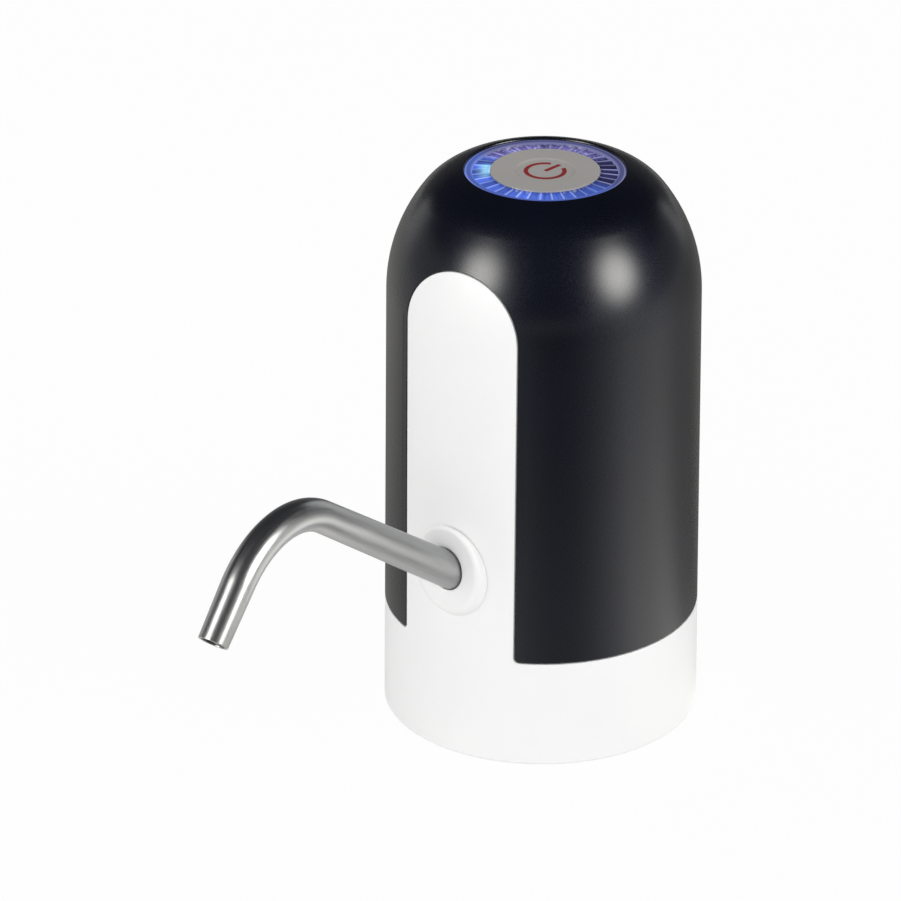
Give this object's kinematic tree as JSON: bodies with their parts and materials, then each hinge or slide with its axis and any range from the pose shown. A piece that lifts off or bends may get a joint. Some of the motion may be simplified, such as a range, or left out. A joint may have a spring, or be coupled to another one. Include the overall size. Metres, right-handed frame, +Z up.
{
  "type": "bottle-top water pump dispenser",
  "caption": "Rechargeable bottle-top water dispenser: domed black shell over a white body, bent steel spout, lit push button on top, and a socket below that fits a large water bottle's neck.",
  "frame": {"origin": "centre of the neck socket's mouth, on the plane of the base rim", "axes": "+Z up along the body's axis, -Y towards the spout, +X to the right of someone who faces along +Y"},
  "size_m": [0.073, 0.1637, 0.1324],
  "materials": {
    "black_shell": "satin black moulding",
    "white_body": "smooth white moulding",
    "clear_silicone": "milky soft silicone",
    "black_rubber": "soft black rubber",
    "steel_tube": "polished stainless tube with a fine grain",
    "clear_ring": "clear fluted plastic lit blue from below",
    "grey_button": "fine silver-grey paint",
    "black_plastic": "black moulding",
    "circuit_board": "green board lacquer",
    "light_package": "pale package with a lens",
    "pump_plastic": "dark grey moulding",
    "gear_plastic": "natural acetal",
    "bright_steel": "bright plated steel",
    "brass_tag": "plain brass",
    "cell_wrap": "blue shrink sleeve",
    "screw_steel": "plated screw steel"
  },
  "bodies": {
    "base": {"outer_shell": "black_shell", "body_housing": "white_body", "neck_socket": "white_body", "neck_seal": "clear_silicone", "inlet_seal": "black_rubber", "socket_screws": "screw_steel", "pump_cover": "pump_plastic", "cover_gasket": "black_rubber", "pump_housing": "pump_plastic", "idler_pin": "bright_steel", "shaft_seal": "black_rubber", "pump_screws": "screw_steel", "motor_plate": "bright_steel", "motor_screws": "screw_steel", "motor_can": "bright_steel", "motor_end_cap": "black_plastic", "motor_terminals": "brass_tag", "cell": "cell_wrap", "cell_tabs": "bright_steel", "cell_holder": "pump_plastic", "holder_screws": "screw_steel", "spout_collar": "white_body", "outlet_hose": "clear_silicone", "light_ring": "clear_ring", "switch_body": "black_plastic", "control_board": "circuit_board", "board_leds": "light_package", "control_chip": "black_plastic", "board_screws": "screw_steel", "usb_board": "circuit_board", "usb_screws": "screw_steel", "usb_socket": "bright_steel", "usb_tongue": "black_plastic"},
    "button": {"power_button": "grey_button", "switch_plunger": "black_plastic"},
    "spout_ring": {"spout_seal": "black_rubber"},
    "spout": {"spout_tube": "steel_tube"},
    "rotor": {"motor_shaft": "bright_steel", "drive_gear": "gear_plastic"},
    "idler": {"idler_gear": "gear_plastic"}
  },
  "joints": [
    {"name": "button_press", "type": "slide", "parent": "base", "child": "button", "axis": [0, 0, -1], "range_m": [0, 0.0005], "stiffness_N_per_m": 3000},
    {"name": "spout_swivel", "type": "hinge", "parent": "base", "child": "spout_ring", "pos_m": [0, -0.03624, 0.04619], "axis": [0, -0.8241, 0.5664], "range_deg": [-90, 90]},
    {"name": "spout_pull", "type": "slide", "parent": "spout_ring", "child": "spout", "axis": [0, -0.8241, 0.5664], "range_m": [0, 0.00991]},
    {"name": "rotor_spin", "type": "hinge", "parent": "base", "child": "rotor", "pos_m": [-0.005, 0, 0.0321], "axis": [0, 0, 1], "continuous": true},
    {"name": "idler_spin", "type": "hinge", "parent": "base", "child": "idler", "pos_m": [0.005, 0, 0.0321], "axis": [0, 0, 1], "continuous": true}
  ],
  "couplings": [
    {"joint": "idler_spin", "follows": "rotor_spin", "ratio": -1}
  ]
}
